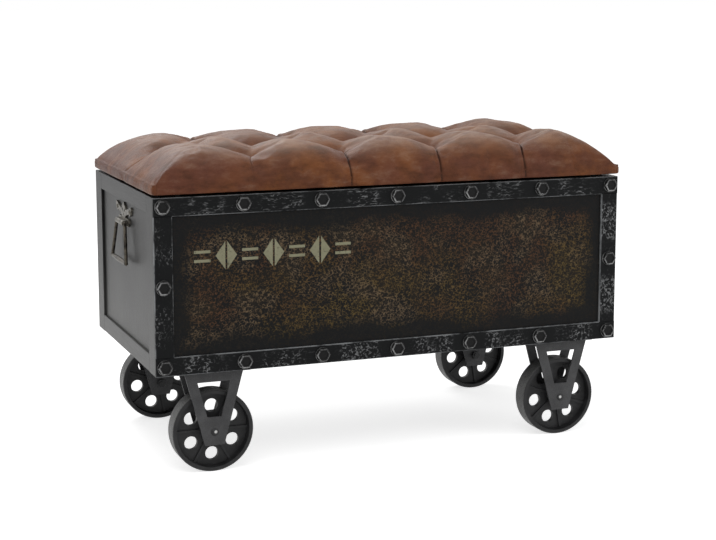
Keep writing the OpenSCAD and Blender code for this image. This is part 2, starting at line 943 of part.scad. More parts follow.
module seat_cushion() {
    last_x = tuft_x(0, tuft_n - 1);
    // An even number of tufts leaves the middle of the bench half way between two
    steps = (tuft_n - 1) * half_cells;
    xs = both_ways(line_up(last_x, last_x / steps, steps, cover_x));
    ys = both_ways(line_up(tuft_row, tuft_row / row_cells, row_cells, cover_y));
    nx = len(xs);
    ny = len(ys);
    // Seen from above, pleats draw the edge in, and the corners are round
    function drawn(p) =
        let (
            cut = draw_in * (1 - min(inset_x(p), inset_y(p))) * drawn_at(p),
            cx = max(abs(p[0]) - (cover_x - corner_r), 0),
            cy = max(abs(p[1]) - (cover_y - corner_r), 0),
            round = max(cx, cy) > 0 ? max(cx, cy) / norm([cx, cy]) : 1,
            side = cover_x - abs(p[0]) < cover_y - abs(p[1])
        )
            [
                sign(p[0]) * (abs(p[0]) - cx + cx * round - (side ? cut : 0)),
                sign(p[1]) * (abs(p[1]) - cy + cy * round - (side ? 0 : cut))
            ];
    top = [
        for (y = ys)
            for (x = xs)
                let (q = drawn([x, y]))
                    [q[0], q[1], seat_z([x, y])]
    ];
    rim = concat(
        [for (i = [0 : nx - 2]) i],
        [for (j = [0 : ny - 2]) j * nx + nx - 1],
        [for (i = [nx - 1 : -1 : 1]) (ny - 1) * nx + i],
        [for (j = [ny - 1 : -1 : 1]) j * nx]
    );
    m = len(rim);
    skirt = [for (k = rim) [top[k][0], top[k][1], skirt_z]];
    middle = [[0, 0, skirt_z]];
    n = nx * ny;
    faces = concat(
        [
            for (j = [0 : ny - 2])
                for (i = [0 : nx - 2])
                    let (a = j * nx + i, b = a + 1, c = a + nx, d = c + 1)
                        // A cell is split along its deeper diagonal, so that the folds stay clean
                        each top[a][2] + top[d][2] < top[b][2] + top[c][2]
                            ? [[a, c, d], [a, d, b]]
                            : [[a, c, b], [b, c, d]]
        ],
        [
            for (k = [0 : m - 1])
                let (b = (k + 1) % m)
                    each [
                        [rim[k], rim[b], n + k], [rim[b], n + b, n + k],
                        [n + k, n + b, n + m]
                    ]
        ]
    );
    color([0.42, 0.24, 0.17])
        difference() {
            polyhedron(points = concat(top, skirt, middle), faces = faces);
            // The lid board fits up into the cover
            translate([-end_x - run_gap, front_y - run_gap, lid_z - 1])
                cube([box_l + 2 * run_gap, box_d + 2 * run_gap, lid_t + 1 + run_gap]);
        }
}

front_panel();
front_top_strip();
front_bottom_strip();
front_left_strip();
front_right_strip();
frame_bolts();
back_panel();
bottom_board();
front_stile(-1);  // left_front_stile
back_stile(-1);  // left_back_stile
end_rail(-1, rim_z - rail_w);  // left_top_rail
end_rail(-1, box_z);  // left_bottom_rail
end_panel(-1);  // left_panel
front_stile(1);  // right_front_stile
back_stile(1);  // right_back_stile
end_rail(1, rim_z - rail_w);  // right_top_rail
end_rail(1, box_z);  // right_bottom_rail
end_panel(1);  // right_panel
batten(corners[0]);  // front_left_batten
batten(corners[1]);  // front_right_batten
batten(corners[2]);  // back_left_batten
batten(corners[3]);  // back_right_batten
fork(0);  // front_left_fork
fork(1);  // front_right_fork
fork(2);  // back_left_fork
fork(3);  // back_right_fork
fork_screws();
axle_bolts();
axle_nuts();
hub_washers();
wheel(0);  // front_left_wheel
wheel(1);  // front_right_wheel
wheel(2);  // back_left_wheel
wheel(3);  // back_right_wheel
handle_plate(-1);  // left_handle_plate
handle_plate(1);  // right_handle_plate
handle_screws();
bail(-1);  // left_bail
bail(1);  // right_bail
box_leaf(-1);  // left_hinge_box_leaf
box_leaf(1);  // right_hinge_box_leaf
hinge_pins();
hinge_box_screws();
lid_leaf(-1);  // left_hinge_lid_leaf
lid_leaf(1);  // right_hinge_lid_leaf
hinge_lid_screws();
rim_pads();
lid_board();
lid_lining();
seat_cushion();
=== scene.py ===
# Wheeled storage bench: finishes, tufted leather seat, light and camera.
# Lengths are in metres and the front faces -Y. The solids come packed, and only the seat's
# leather cover is made here.
import math

import bmesh
import bpy
import numpy as np
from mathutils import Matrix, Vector


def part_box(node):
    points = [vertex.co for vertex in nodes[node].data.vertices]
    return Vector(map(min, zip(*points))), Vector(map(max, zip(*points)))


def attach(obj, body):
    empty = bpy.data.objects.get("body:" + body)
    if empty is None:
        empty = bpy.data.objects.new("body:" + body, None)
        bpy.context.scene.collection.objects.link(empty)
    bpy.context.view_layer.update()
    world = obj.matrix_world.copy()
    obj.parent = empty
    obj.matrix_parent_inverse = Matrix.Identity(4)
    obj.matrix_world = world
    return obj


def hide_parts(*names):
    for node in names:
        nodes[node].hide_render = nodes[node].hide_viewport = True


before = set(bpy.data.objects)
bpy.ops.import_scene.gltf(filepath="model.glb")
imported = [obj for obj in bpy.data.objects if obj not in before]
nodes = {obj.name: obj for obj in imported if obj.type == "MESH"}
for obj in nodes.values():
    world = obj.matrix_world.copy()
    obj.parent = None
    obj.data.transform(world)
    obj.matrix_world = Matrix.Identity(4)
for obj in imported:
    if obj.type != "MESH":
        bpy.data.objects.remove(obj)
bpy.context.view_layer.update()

mm = 0.001


# Camera

camera = {
    "place": (-0.9759, -2.5619, 0.7559),
    "turn": 21.056,      # degrees from +Y towards +X
    "tilt": 8.66,        # degrees below level
    "lens": 82.067,
    "sensor": 36.0,
    "shiftUp": -0.0559,  # a small part of the photograph's vertical shift, in image widths
    "clip": (0.05, 200),
}


def addToScene(name, data):
    made = bpy.data.objects.new(name, data)
    bpy.context.scene.collection.objects.link(made)
    return made


def makeCamera():
    data = bpy.data.cameras.new("camera")
    data.lens = camera["lens"]
    data.sensor_width = camera["sensor"]
    data.shift_y = camera["shiftUp"]
    data.clip_start, data.clip_end = camera["clip"]
    made = addToScene("camera", data)
    made.location = camera["place"]
    made.rotation_euler = (math.radians(90 - camera["tilt"]), 0, math.radians(-camera["turn"]))
    bpy.context.scene.camera = made


makeCamera()
print("camera set")


# Short ways to build a material

def shade(red, green, blue):
    # a colour as a screen shows it, 0 to 255
    def linear(value):
        value = value / 255
        return value / 12.92 if value <= 0.04045 else ((value + 0.055) / 1.055) ** 2.4
    return (linear(red), linear(green), linear(blue), 1.0)


def feed(tree, socket, value):
    if isinstance(value, bpy.types.NodeSocket):
        tree.links.new(value, socket)
    else:
        socket.default_value = value


def addNode(tree, kind, inputs=None, **settings):
    made = tree.nodes.new("ShaderNode" + kind)
    for name, value in settings.items():
        setattr(made, name, value)
    for name, value in (inputs or {}).items():
        feed(tree, made.inputs[name], value)
    return made


def calc(tree, operation, *values):
    made = tree.nodes.new("ShaderNodeMath")
    made.operation = operation
    for socket, value in zip(made.inputs, values):
        feed(tree, socket, value)
    return made.outputs[0]


def plus(tree, first, second):
    return calc(tree, "ADD", first, second)


def minus(tree, first, second):
    return calc(tree, "SUBTRACT", first, second)


def sizeOf(tree, value):
    return calc(tree, "ABSOLUTE", value)


def scaleShift(tree, value, scale, shift):
    return calc(tree, "MULTIPLY_ADD", value, scale, shift)


def together(tree, first, second, share=0.5):
    # two patterns added up, with the share that the first one has
    return plus(tree, times(tree, first, share), times(tree, second, 1 - share))


def slantLength(tree, across, up):
    squares = plus(tree, calc(tree, "POWER", across, 2.0), calc(tree, "POWER", up, 2.0))
    return calc(tree, "SQRT", squares)


def rise(tree, value, start, end):
    # 0 before start and 1 after end, smooth in between
    made = addNode(tree, "MapRange", {"Value": value, "From Min": start, "From Max": end},
                   interpolation_type="SMOOTHSTEP")
    return made.outputs["Result"]


def drop(tree, value, start, end):
    # 1 before start and 0 after end
    return minus(tree, 1.0, rise(tree, value, start, end))


def blend(tree, amount, under, over):
    made = addNode(tree, "Mix", data_type="RGBA")
    for index, value in ((0, amount), (6, under), (7, over)):
        feed(tree, made.inputs[index], value)
    return made.outputs[2]


def chain(tree, operation, values):
    result = values[0]
    for value in values[1:]:
        result = calc(tree, operation, result, value)
    return result


def times(tree, *values):
    return chain(tree, "MULTIPLY", values)


def most(tree, *values):
    return chain(tree, "MAXIMUM", values)


def least(tree, *values):
    return chain(tree, "MINIMUM", values)


def noise(tree, coords, size, detail=3.0, rough=0.55, stretch=(1, 1, 1), shift=0.0):
    # size is how far apart its lumps are, and stretch makes them longer along an axis
    scaled = addNode(tree, "Mapping", {
        "Vector": coords,
        "Location": (shift, shift * 0.7, shift * 1.3),
        "Scale": tuple(1 / (size * way) for way in stretch),
    })
    made = addNode(tree, "TexNoise", {
        "Vector": scaled.outputs["Vector"], "Scale": 1.0, "Detail": detail, "Roughness": rough,
    })
    return made.outputs["Fac"]


def ridges(tree, value, width):
    # thin winding lines where a noise passes through its middle value
    away = sizeOf(tree, minus(tree, value, 0.5))
    return drop(tree, away, 0.0, width)


def cells(tree, coords, size, warp):
    # distance from the borders of uneven cells, which the warp bends
    push = addNode(tree, "TexNoise", {"Vector": coords, "Scale": 0.6 / size, "Detail": 2.0})
    bent = push.outputs["Color"]
    for operation, value in (("SUBTRACT", 0.5), ("MULTIPLY", warp * size)):
        bent = addNode(tree, "VectorMath", {0: bent, 1: (value,) * 3}, operation=operation).outputs[0]
    moved = addNode(tree, "VectorMath", {0: coords, 1: bent}, operation="ADD")
    scaled = addNode(tree, "Mapping", {"Vector": moved.outputs[0], "Scale": (1 / size,) * 3})
    made = addNode(tree, "TexVoronoi", {"Vector": scaled.outputs["Vector"], "Scale": 1.0},
                   feature="DISTANCE_TO_EDGE")
    return made.outputs["Distance"]


def startFinish(name):
    made = bpy.data.materials.new(name)
    made.use_nodes = True
    tree = made.node_tree
    coords = addNode(tree, "TexCoord").outputs["Object"]
    split = addNode(tree, "SeparateXYZ", {"Vector": coords})
    return made, tree, coords, [split.outputs[axis] for axis in ("X", "Y", "Z")]


def endFinish(made, tree, colour, rough, relief, depth, gloss=0.5, metal=0.0, extra=None):
    shader = tree.nodes["Principled BSDF"]
    feed(tree, shader.inputs["Base Color"], colour)
    feed(tree, shader.inputs["Roughness"], rough)
    feed(tree, shader.inputs["Metallic"], metal)
    shader.inputs["Specular IOR Level"].default_value = gloss
    for name, value in (extra or {}).items():
        shader.inputs[name].default_value = value
    bump = addNode(tree, "Bump", {"Height": relief, "Strength": 1.0, "Distance": depth})
    feed(tree, shader.inputs["Normal"], bump.outputs["Normal"])
    return made


def dress(material, *names):
    for name in names:
        slots = nodes[name].material_slots
        for slot in slots:
            slot.material = material
        if not len(slots):
            nodes[name].data.materials.append(material)


# Light: a white studio, even all round, with three soft lamps

studio = {
    "fill": 0.47,  # how strongly the white room lights the bench
    "lamps": [     # place, where it points, size, watts
        ((-0.7, -1.3, 2.3), (0.0, 0.0, 0.4), 1.6, 16),
        ((1.9, -1.6, 1.5), (0.0, 0.0, 0.3), 1.4, 10),
        ((-0.4, 1.9, 1.9), (0.0, 0.0, 0.5), 1.5, 20),
    ],
}


def seenOrReflected(tree):
    # 1 where the camera looks, also by way of metal and glass
    path = addNode(tree, "LightPath").outputs
    return least(tree, 1.0, plus(tree, path["Is Camera Ray"],
                                 plus(tree, path["Is Glossy Ray"], path["Is Transmission Ray"])))


def makeRoom():
    world = bpy.data.worlds.new("studio")
    world.use_nodes = True
    bpy.context.scene.world = world
    tree = world.node_tree
    tree.nodes.clear()
    seen = seenOrReflected(tree)
    white = addNode(tree, "Background", {"Color": (1, 1, 1, 1), "Strength": 1.0})
    dim = addNode(tree, "Background", {"Color": (1, 1, 1, 1), "Strength": studio["fill"]})
    both = addNode(tree, "MixShader", {0: seen, 1: dim.outputs[0], 2: white.outputs[0]})
    addNode(tree, "OutputWorld", {"Surface": both.outputs[0]})


def makeLamps():
    for index, (place, aim, size, watts) in enumerate(studio["lamps"]):
        data = bpy.data.lights.new("lamp" + str(index + 1), "AREA")
        data.shape = "SQUARE"
        data.size = size
        data.energy = watts
        made = addToScene(data.name, data)
        made.location = place
        made.rotation_euler = (Vector(aim) - Vector(place)).to_track_quat("-Z", "Y").to_euler()


# Floor: white paper, on which only the bench's soft shadow shows

floor = {
    "halfSize": 40.0,
    "paper": (0.8, 0.8, 0.8, 1),
    "glow": 0.70,  # share of its white that doesn't depend on the lamps
}


def makeFloor():
    made = bpy.data.materials.new("floor paper")
    made.use_nodes = True
    tree = made.node_tree
    shader = tree.nodes["Principled BSDF"]
    shader.inputs["Base Color"].default_value = floor["paper"]
    shader.inputs["Roughness"].default_value = 0.9
    shader.inputs["Specular IOR Level"].default_value = 0.0
    seen = seenOrReflected(tree)
    feed(tree, shader.inputs["Emission Strength"], times(tree, seen, floor["glow"]))
    shader.inputs["Emission Color"].default_value = (1, 1, 1, 1)
    half = floor["halfSize"]
    mesh = bpy.data.meshes.new("floor")
    mesh.from_pydata([(-half, -half, 0), (half, -half, 0), (half, half, 0), (-half, half, 0)], [],
                     [(0, 1, 2, 3)])
    mesh.materials.append(made)
    addToScene("floor", mesh)


makeRoom()
makeLamps()
makeFloor()
bpy.context.scene.view_settings.view_transform = "Standard"
print("room, lamps and floor set")


# Front panel: black over a gold-brown ground that shows through fine crackle

panel = {
    "black": shade(15, 16, 17),
    "brown": shade(33, 28, 22),
    "gold": shade(114, 94, 54),
    "tan": shade(128, 108, 84),
    "rust": shade(100, 70, 48),
    "crackle": 4.4 * mm,
    "border": (8 * mm, 42 * mm),  # where the crackle starts, and is full
    "faint": 0.06,                # how much of it shows in the border all the same
}

# A row of split lozenges and bars, sprayed through a stencil
mark = {
    "middle": (-0.205, 0.343),
    "paint": shade(160, 158, 132),
    "oldPaint": shade(136, 133, 108),
    "cover": 0.93,
    "pitch": 76 * mm,
    "lozenge": (17 * mm, 24 * mm),
    "lozenges": 3,
    "bridge": 3.2 * mm,
    "bar": (13 * mm, 2.2 * mm),
    "barGap": 7 * mm,
    "end": 14 * mm,
}


def stencilMark(tree, x, z):
    across = minus(tree, x, mark["middle"][0])
    up = sizeOf(tree, minus(tree, z, mark["middle"][1]))
    half = mark["pitch"] / 2
    folded = sizeOf(tree, calc(tree, "WRAP", across, half, -half))
    width, height = mark["lozenge"]
    reach = plus(tree, calc(tree, "DIVIDE", folded, width), calc(tree, "DIVIDE", up, height))
    lozenges = times(tree, calc(tree, "LESS_THAN", reach, 1.0),
                     calc(tree, "GREATER_THAN", folded, mark["bridge"] / 2))
    fromBar = minus(tree, half, folded)
    lift = sizeOf(tree, minus(tree, up, mark["barGap"]))
    bars = times(tree, calc(tree, "LESS_THAN", fromBar, mark["bar"][0]),
                 calc(tree, "LESS_THAN", lift, mark["bar"][1]))
    inside = calc(tree, "LESS_THAN", sizeOf(tree, across), mark["lozenges"] * half + mark["end"])
    return times(tree, most(tree, lozenges, bars), inside)


def panelPaint():
    made, tree, coords, (x, y, z) = startFinish("crackled panel paint")
    left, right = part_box("front_left_strip"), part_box("front_right_strip")
    low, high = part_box("front_bottom_strip"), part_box("front_top_strip")
    inward = least(tree, minus(tree, x, left[1].x), minus(tree, right[0].x, x),
                   minus(tree, z, low[1].z), minus(tree, high[0].z, z))
    drift = noise(tree, coords, 0.11, 3.0, shift=3.0)
    inward = plus(tree, inward, scaleShift(tree, drift, 0.07, -0.037))
    # only the outside is crackled and marked
    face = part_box("front_panel")[0].y
    outside = drop(tree, y, face + 2 * mm, face + 4 * mm)
    worn = times(tree, rise(tree, inward, *panel["border"]), outside)
    # lines of the ground colour between dark flakes, broken up and never the same strength
    edge = cells(tree, coords, panel["crackle"], warp=0.5)
    strength = noise(tree, coords, 4.2 * mm, 2.0, shift=1.0)
    lines = times(tree, drop(tree, edge, 0.02, 0.15), rise(tree, strength, 0.38, 0.66), 0.8)
    flecks = noise(tree, coords, 2.4 * mm, 1.0, stretch=(1.5, 1, 1))
    specks = times(tree, rise(tree, flecks, 0.58, 0.74), 0.75)
    ground = blend(tree, rise(tree, noise(tree, coords, 0.16, 2.0, shift=7.0), 0.40, 0.62),
                   panel["gold"], panel["rust"])
    ground = blend(tree, rise(tree, noise(tree, coords, 0.07, 2.0, shift=11.0), 0.45, 0.65),
                   ground, panel["tan"])
    flake = blend(tree, rise(tree, noise(tree, coords, 0.05, 3.0, shift=5.0), 0.35, 0.7),
                  panel["black"], panel["brown"])
    flake = blend(tree, worn, panel["black"], flake)
    amount = times(tree, most(tree, lines, specks), worn)
    faint = times(tree, most(tree, lines, specks), panel["faint"])
    colour = blend(tree, most(tree, amount, faint), flake, ground)
    sprayed = stencilMark(tree, x, z)
    kept = rise(tree, noise(tree, coords, 5 * mm, 4.0, shift=2.0), 0.30, 0.42)
    sprayed = times(tree, sprayed, scaleShift(tree, kept, 0.5, 0.5), outside)
    tone = blend(tree, noise(tree, coords, 0.03, 3.0), mark["paint"], mark["oldPaint"])
    colour = blend(tree, times(tree, sprayed, mark["cover"]), colour, tone)
    rough = scaleShift(tree, noise(tree, coords, 0.02, 3.0), 0.25, 0.42)
    relief = minus(tree, 1.0, times(tree, most(tree, lines, specks), worn))
    return endFinish(made, tree, colour, rough, gloss=0.12, relief=relief, depth=0.0004)


# Front strips: black, rubbed to silver along their edges, and hammered between the bolts

strips = {
    "black": shade(14, 15, 16),
    "silver": shade(138, 140, 142),
    "scratch": shade(138, 139, 140),
    "edge": 1.6 * mm,
    "boltPitch": 127 * mm,
    "boltInset": 14 * mm,
    "bare": 24 * mm,  # plain metal round each bolt
}


def stripPaint(name, along, streak, worn):
    made, tree, coords, (x, y, z) = startFinish("worn black of " + name)
    low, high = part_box(name)
    run, across = (x, z) if along == "x" else (z, x)
    start = low.x if along == "x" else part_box("front_bottom_strip")[0].z
    acrossLow, acrossHigh = (low.z, high.z) if along == "x" else (low.x, high.x)
    pitch = strips["boltPitch"] if along == "x" else (
        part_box("front_top_strip")[1].z - start) / 2 - strips["boltInset"]
    outer, inner = minus(tree, acrossHigh, across), minus(tree, across, acrossLow)
    if "bottom" in name or "left" in name:
        outer, inner = inner, outer
    if along == "x":
        # the upright strips butt against this edge and keep it from wear
        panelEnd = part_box("front_right_strip")[0].x
        inner = plus(tree, inner, rise(tree, sizeOf(tree, x), panelEnd, panelEnd + 3 * mm))
    fromEdge = least(tree, outer, inner)
    patchy = noise(tree, coords, 0.05, 3.0, shift=4.0)
    fine = noise(tree, coords, 2.4 * mm, 3.0, stretch=(2.5, 1, 1) if along == "x" else (1, 1, 2.5))
    rub = times(tree, drop(tree, fromEdge, 0.3 * mm, strips["edge"]),
                rise(tree, together(tree, patchy, fine, 0.7), 0.36, 0.60))
    # distance from the nearest bolt, along the strip
    past = minus(tree, run, start + strips["boltInset"])
    near = sizeOf(tree, calc(tree, "WRAP", past, pitch / 2, -pitch / 2))
    patch = times(tree, rise(tree, near, strips["bare"], strips["bare"] + 16 * mm),
                  rise(tree, noise(tree, coords, 0.04, 2.0, shift=9.0), 0.56 - 0.25 * worn,
                       0.76 - 0.25 * worn))
    # short curled dents, or long scratches where streak is large
    lie = (streak, 1, 1) if along == "x" else (1, 1, streak)
    dents = noise(tree, coords, 5.6 * mm / math.sqrt(streak), 1.0, stretch=lie)
    broken = noise(tree, coords, 4 * mm, 2.0, stretch=lie, shift=6.0)
    hammered = times(tree, ridges(tree, dents, 0.05 + 0.04 * worn), patch,
                     rise(tree, broken, 0.50 - 0.1 * worn, 0.62))
    scuff = times(tree, rise(tree, fine, 0.55, 0.75), rise(tree, patchy, 0.4, 0.7), 0.4)
    colour = blend(tree, most(tree, times(tree, hammered, min(worn, 0.9)), times(tree, scuff, 0.5)),
                   strips["black"], strips["scratch"])
    colour = blend(tree, rub, colour, strips["silver"])
    rough = scaleShift(tree, patchy, 0.25, 0.34)
    relief = plus(tree, times(tree, patch, dents), times(tree, fine, 0.12))
    return endFinish(made, tree, colour, rough, gloss=0.11, relief=relief, depth=0.0012)


# Ends, back and underside

boards = {
    "end": shade(12, 12, 13),
    # pale tone of the ends: for random paler grain and clouds, and for the painted floor reflection low
    # down
    "endPaleAndReflected": shade(72, 72, 70),
    "under": (shade(26, 26, 26), shade(38, 37, 36)),
}


def endPaint(name, grainAlong):
    made, tree, coords, (x, y, z) = startFinish(name)
    longWay = (1, 1, 14) if grainAlong == "z" else (1, 14, 1)
    grain = noise(tree, coords, 2.2 * mm, 4.0, rough=0.6, stretch=longWay)
    clouds = noise(tree, coords, 0.09, 3.0)
    mixed = rise(tree, together(tree, grain, clouds, 0.6), 0.38, 0.66)
    # paler towards the bottom: a painted reflection of the white floor
    floorReflection = drop(tree, z, 0.14, 0.36)
    colour = blend(tree, scaleShift(tree, floorReflection, 0.75, times(tree, mixed, 0.25)), boards["end"],
                   boards["endPaleAndReflected"])
    rough = scaleShift(tree, grain, 0.16, 0.32)
    return endFinish(made, tree, colour, rough, gloss=0.165, relief=grain, depth=0.0004)


def underPaint():
    made, tree, coords, _ = startFinish("matte black board")
    grain = noise(tree, coords, 2 * mm, 4.0, stretch=(14, 1, 1))
    colour = blend(tree, grain, *boards["under"])
    return endFinish(made, tree, colour, 0.7, gloss=0.2, relief=grain, depth=0.0003)


# Wood inside the box

woods = {
    "batten": (shade(186, 150, 106), shade(148, 108, 68)),
    "lid": (shade(196, 163, 120), shade(158, 120, 78)),
}


def bareWood(name, tones, stretch):
    made, tree, coords, _ = startFinish(name)
    fibre = noise(tree, coords, 1.5 * mm, 5.0, rough=0.65, stretch=stretch)
    rings = noise(tree, coords, 14 * mm, 3.0, stretch=stretch)
    colour = blend(tree, rise(tree, rings, 0.35, 0.65), *tones)
    colour = blend(tree, times(tree, rise(tree, fibre, 0.45, 0.75), 0.55), colour, tones[1])
    return endFinish(made, tree, colour, 0.62, gloss=0.3, relief=fibre, depth=0.0003)


def liningCloth():
    made, tree, coords, (x, y, z) = startFinish("black lining cloth")
    thread = 0.9 * mm
    weave = most(tree, calc(tree, "PINGPONG", x, thread), calc(tree, "PINGPONG", y, thread))
    fuzz = noise(tree, coords, 1.2 * mm, 3.0)
    colour = blend(tree, fuzz, shade(20, 20, 20), shade(44, 43, 42))
    relief = plus(tree, calc(tree, "DIVIDE", weave, thread), times(tree, fuzz, 0.4))
    return endFinish(made, tree, colour, 0.9, gloss=0.1, relief=relief, depth=0.0002,
                     extra={"Sheen Weight": 0.3})


# Iron and steel

metals = {
    "fork": (shade(58, 58, 59), shade(84, 84, 85)),
    "wheel": (shade(28, 28, 29), shade(44, 44, 45)),
    "tread": shade(92, 92, 91),
    "axleDark": shade(20, 20, 21),
    "axle": shade(52, 52, 53),
    "axleBright": shade(206, 206, 204),
    "hinge": (shade(120, 120, 122), shade(176, 176, 178)),
    "plate": (shade(44, 42, 39), shade(112, 108, 99)),
    "bail": (shade(19, 18, 16), shade(88, 82, 72)),
    "boltDark": (shade(12, 12, 13), shade(34, 34, 34)),
    "boltBright": shade(146, 146, 146),
}


def paintedIron(name, tones, rough, lumps):
    made, tree, coords, _ = startFinish(name)
    sand = noise(tree, coords, lumps, 4.0, rough=0.6)
    clouds = noise(tree, coords, 0.03, 3.0, shift=2.0)
    colour = blend(tree, rise(tree, together(tree, sand, clouds), 0.38, 0.66), *tones)
    sheen = scaleShift(tree, clouds, 0.2, rough - 0.1)
    return endFinish(made, tree, colour, sheen, gloss=0.3, relief=sand, depth=0.0005)


def fromAxle(tree, x, z, aside=0.0, above=0.0):
    # distance from the middle of the nearest wheel, or from a point beside and above it
    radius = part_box("front_left_wheel")[1].z / 2
    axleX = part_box("front_right_wheel")[1].x - radius
    offX = minus(tree, sizeOf(tree, x), axleX + aside)
    offZ = minus(tree, z, radius + above)
    return slantLength(tree, offX, offZ)


def wheelIron():
    made, tree, coords, (x, y, z) = startFinish("black cast iron")
    sand = noise(tree, coords, 1.6 * mm, 4.0, rough=0.6)
    clouds = noise(tree, coords, 0.02, 3.0, shift=2.0)
    # the tread is rubbed grey by the floor
    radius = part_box("front_left_wheel")[1].z / 2
    tread = rise(tree, fromAxle(tree, x, z), radius - 1.2 * mm, radius - 0.2 * mm)
    colour = blend(tree, rise(tree, clouds, 0.35, 0.7), *metals["wheel"])
    colour = blend(tree, times(tree, tread, rise(tree, sand, 0.3, 0.6)), colour, metals["tread"])
    rough = scaleShift(tree, clouds, 0.2, 0.34)
    return endFinish(made, tree, colour, rough, gloss=0.3, relief=sand, depth=0.0007)


def bareSteel(name, tones, rough):
    made, tree, coords, _ = startFinish(name)
    streaks = noise(tree, coords, 1.2 * mm, 3.0)
    colour = blend(tree, rise(tree, streaks, 0.35, 0.7), *tones)
    return endFinish(made, tree, colour, scaleShift(tree, streaks, 0.25, rough - 0.1), metal=0.9,
                     relief=streaks, depth=0.0002)


def axleSteel():
    made, tree, coords, (x, y, z) = startFinish("axle steel")
    streaks = noise(tree, coords, 1.2 * mm, 3.0)
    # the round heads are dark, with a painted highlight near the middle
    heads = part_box("axle_bolts")[1].y - 3 * mm
    brightPatch = times(tree, drop(tree, fromAxle(tree, x, z, -1 * mm, 0.8 * mm),
                              1.4 * mm, 3.2 * mm),
                   calc(tree, "GREATER_THAN", sizeOf(tree, y), heads))
    colour = blend(tree, rise(tree, streaks, 0.35, 0.7), metals["axleDark"], metals["axle"])
    colour = blend(tree, brightPatch, colour, metals["axleBright"])
    return endFinish(made, tree, colour, scaleShift(tree, streaks, 0.25, 0.3), metal=0.5,
                     relief=streaks, depth=0.0002)


def boltSteel():
    made, tree, coords, (x, y, z) = startFinish("worn bolt steel")
    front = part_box("frame_bolts")[0].y
    low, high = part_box("front_top_strip")
    inset = strips["boltInset"]
    pitchX = strips["boltPitch"]
    pitchZ = (high.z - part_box("front_bottom_strip")[0].z) / 2 - inset
    fromX = calc(tree, "WRAP", minus(tree, x, low.x + inset), pitchX / 2, -pitchX / 2)
    fromZ = calc(tree, "WRAP", minus(tree, z, high.z - inset), pitchZ / 2, -pitchZ / 2)
    out = slantLength(tree, fromX, fromZ)
    fine = noise(tree, coords, 1.5 * mm, 3.0)
    patchy = noise(tree, coords, 12 * mm, 2.0, shift=3.0)
    # the head's rim is worn bright, and the flange's edge gets a painted highlight here and there
    slant = [sizeOf(tree, scaleShift(tree, fromX, turn, times(tree, fromZ, 0.5)))
             for turn in (0.866, -0.866)]
    flats = most(tree, sizeOf(tree, fromZ), *slant)
    rim = times(tree, rise(tree, flats, 7.4 * mm, 8.4 * mm),
                drop(tree, flats, 9.5 * mm, 10.1 * mm),
                drop(tree, y, front + 1.0 * mm, front + 2.6 * mm))
    # a painted highlight from below and from the left brightens the rim's wear and the flange
    lean = calc(tree, "DIVIDE", plus(tree, fromX, fromZ), out)
    lowerLeftHighlight = scaleShift(tree, lean, -0.35, 0.6)
    rim = times(tree, rim, plus(tree, lowerLeftHighlight, 0.25))
    flangeHighlight = times(tree, rise(tree, out, 10.6 * mm, 11.6 * mm), lowerLeftHighlight, 0.9)
    # worn rim, together with the flange's painted highlight
    wearAndHighlight = times(tree, most(tree, rim, flangeHighlight), rise(tree, together(tree, fine, patchy), 0.36, 0.58))
    dark = blend(tree, fine, *metals["boltDark"])
    colour = blend(tree, wearAndHighlight, dark, metals["boltBright"])
    rough = scaleShift(tree, fine, 0.2, 0.36)
    return endFinish(made, tree, colour, rough, gloss=0.12, metal=times(tree, wearAndHighlight, 0.3), relief=fine,
                     depth=0.0004)


def handleBronze(name, tones):
    made, tree, coords, _ = startFinish(name)
    pits = noise(tree, coords, 1.4 * mm, 4.0, rough=0.65)
    clouds = noise(tree, coords, 9 * mm, 2.0, shift=1.0)
    colour = blend(tree, rise(tree, together(tree, pits, clouds), 0.36, 0.6), *tones)
    return endFinish(made, tree, colour, scaleShift(tree, pits, 0.3, 0.28), metal=0.85,
                     relief=pits, depth=0.0005)


def padRubber():
    made, tree, coords, _ = startFinish("black rubber")
    dust = noise(tree, coords, 1 * mm, 2.0)
    colour = blend(tree, dust, shade(18, 18, 18), shade(32, 32, 32))
    return endFinish(made, tree, colour, 0.85, gloss=0.2, relief=dust, depth=0.0001)


def dressSolids():
    dress(panelPaint(), "front_panel")
    dress(stripPaint("front_top_strip", "x", 3.2, 0.8), "front_top_strip")
    dress(stripPaint("front_bottom_strip", "x", 1.2, 0.9), "front_bottom_strip")
    dress(stripPaint("front_left_strip", "z", 1.2, 0.55), "front_left_strip")
    dress(stripPaint("front_right_strip", "z", 1.2, 1.5), "front_right_strip")
    upright = endPaint("black satin, upright grain", "z")
    level = endPaint("black satin, level grain", "y")
    for side in ("left", "right"):
        dress(upright, side + "_front_stile", side + "_back_stile", side + "_panel")
        dress(level, side + "_top_rail", side + "_bottom_rail")
    dress(upright, "back_panel")
    dress(underPaint(), "bottom_board")
    fork = paintedIron("fork paint", metals["fork"], 0.5, 1.2 * mm)
    iron = wheelIron()
    batten = bareWood("batten wood", woods["batten"], (1, 1, 14))
    for corner in ("front_left", "front_right", "back_left", "back_right"):
        dress(batten, corner + "_batten")
        dress(fork, corner + "_fork")
        dress(iron, corner + "_wheel")
    dress(boltSteel(), "frame_bolts")
    dress(axleSteel(), "axle_bolts", "axle_nuts", "hub_washers", "fork_screws")
    dress(bareSteel("hinge steel", metals["hinge"], 0.35), "left_hinge_box_leaf", "right_hinge_box_leaf",
          "left_hinge_lid_leaf", "right_hinge_lid_leaf", "hinge_pins", "hinge_box_screws",
          "hinge_lid_screws")
    dress(handleBronze("pewter plate", metals["plate"]), "left_handle_plate", "right_handle_plate",
          "handle_screws")
    dress(handleBronze("bronze bail", metals["bail"]), "left_bail", "right_bail")
    dress(padRubber(), "rim_pads")
    dress(bareWood("lid board", woods["lid"], (14, 1, 1)), "lid_board")
    dress(liningCloth(), "lid_lining")


dressSolids()
print("solids finished")


# Seat: one leather cover over deep foam, tufted in three staggered rows

